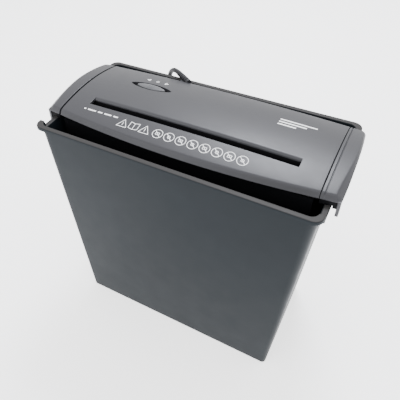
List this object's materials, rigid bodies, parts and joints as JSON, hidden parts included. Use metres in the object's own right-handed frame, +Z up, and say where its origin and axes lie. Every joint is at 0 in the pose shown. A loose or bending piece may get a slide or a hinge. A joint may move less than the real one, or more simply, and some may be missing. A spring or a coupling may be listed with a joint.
{
  "type": "paper shredder",
  "caption": "Strip-cut paper shredder: a crowned cutting head with a paper slot, resting on a tapered waste basket, with its mains lead coiled behind.",
  "frame": {"origin": "middle of the basket's footprint, on the floor", "axes": "+Z up, the front of the shredder faces -Y, +X runs along the paper slot to the object's right"},
  "size_m": [0.3072, 0.2686, 0.2785],
  "materials": {
    "basket_plastic": "fine satin, dark charcoal",
    "head_plastic": "fine spark-eroded texture, charcoal grey",
    "black_plastic": "satin black",
    "gear_plastic": "natural acetal, greased",
    "bright_steel": "zinc-plated and turned steel",
    "blade_steel": "oiled hardened steel",
    "bronze": "sintered bronze",
    "board": "green solder mask",
    "capacitor_plastic": "moulded amber box",
    "cord_sheath": "soft black PVC"
  },
  "bodies": {
    "basket": {"bin": "basket_plastic", "lead_coil": "cord_sheath", "lead_tail": "cord_sheath", "coil_tie": "black_plastic", "plug_body": "cord_sheath", "plug_pin_1": "bright_steel", "plug_pin_2": "bright_steel"},
    "head": {"top_cover": "head_plastic", "right_end_cap": "head_plastic", "left_end_cap": "head_plastic", "head_base": "black_plastic", "left_cap_screw_1": "bright_steel", "left_cap_screw_2": "bright_steel", "left_cover_screw": "bright_steel", "right_cap_screw_1": "bright_steel", "right_cap_screw_2": "bright_steel", "right_cover_screw": "bright_steel", "left_side_plate": "bright_steel", "right_side_plate": "bright_steel", "front_tie_rod": "bright_steel", "rear_tie_rod": "bright_steel", "left_front_bush": "bronze", "left_rear_bush": "bronze", "right_front_bush": "bronze", "right_rear_bush": "bronze", "front_stripper": "black_plastic", "rear_stripper": "black_plastic", "front_feed_guide": "bright_steel", "rear_feed_guide": "bright_steel", "second_gear_axle": "bright_steel", "first_gear_axle": "bright_steel", "gear_cover_plate": "bright_steel", "motor_can": "bright_steel", "motor_screw_1": "bright_steel", "motor_screw_2": "bright_steel", "thermal_cutout": "black_plastic", "circuit_board": "board", "terminal_block": "gear_plastic", "suppression_capacitor": "capacitor_plastic", "slide_switch": "black_plastic", "sensor_pin": "bright_steel", "sensor_microswitch": "black_plastic", "strain_relief": "cord_sheath", "power_lead": "cord_sheath"},
    "front_cutter": {"front_cutter": "blade_steel", "front_sync_gear": "bright_steel"},
    "rear_cutter": {"rear_cutter": "blade_steel", "rear_sync_gear": "bright_steel", "main_drive_gear": "bright_steel"},
    "second_reduction_gear": {"second_reduction_gear": "gear_plastic"},
    "first_reduction_gear": {"first_reduction_gear": "gear_plastic"},
    "motor_rotor": {"motor_shaft": "bright_steel", "motor_pinion": "bronze"},
    "switch_knob": {"switch_knob": "head_plastic"},
    "sensor_lever": {"sensor_lever": "black_plastic"}
  },
  "joints": [
    {"name": "head_lift", "type": "slide", "parent": "basket", "child": "head", "axis": [0, 0, 1], "range_m": [0, 0.25]},
    {"name": "rear_cutter_spin", "type": "hinge", "parent": "head", "child": "rear_cutter", "pos_m": [0, -0.009, 0.238], "axis": [1, 0, 0], "continuous": true},
    {"name": "front_cutter_spin", "type": "hinge", "parent": "head", "child": "front_cutter", "pos_m": [0, -0.029, 0.238], "axis": [1, 0, 0], "continuous": true},
    {"name": "second_gear_spin", "type": "hinge", "parent": "head", "child": "second_reduction_gear", "pos_m": [0, 0.01756, 0.23088], "axis": [1, 0, 0], "continuous": true},
    {"name": "first_gear_spin", "type": "hinge", "parent": "head", "child": "first_reduction_gear", "pos_m": [0, 0.03446, 0.24271], "axis": [1, 0, 0], "continuous": true},
    {"name": "motor_spin", "type": "hinge", "parent": "head", "child": "motor_rotor", "pos_m": [0, 0.03185, 0.22794], "axis": [1, 0, 0], "continuous": true},
    {"name": "switch_slide", "type": "slide", "parent": "head", "child": "switch_knob", "axis": [1, 0, 0], "range_m": [-0.006, 0.006]},
    {"name": "sensor_press", "type": "hinge", "parent": "head", "child": "sensor_lever", "pos_m": [0, -0.011, 0.2605], "axis": [1, 0, 0], "range_deg": [0, 25], "stiffness_Nm_per_rad": 0.002, "springref_deg": -17.19}
  ],
  "couplings": [
    {"joint": "front_cutter_spin", "follows": "rear_cutter_spin", "ratio": -1},
    {"joint": "second_gear_spin", "follows": "rear_cutter_spin", "ratio": -4},
    {"joint": "first_gear_spin", "follows": "rear_cutter_spin", "ratio": 16},
    {"joint": "motor_spin", "follows": "rear_cutter_spin", "ratio": -64}
  ]
}
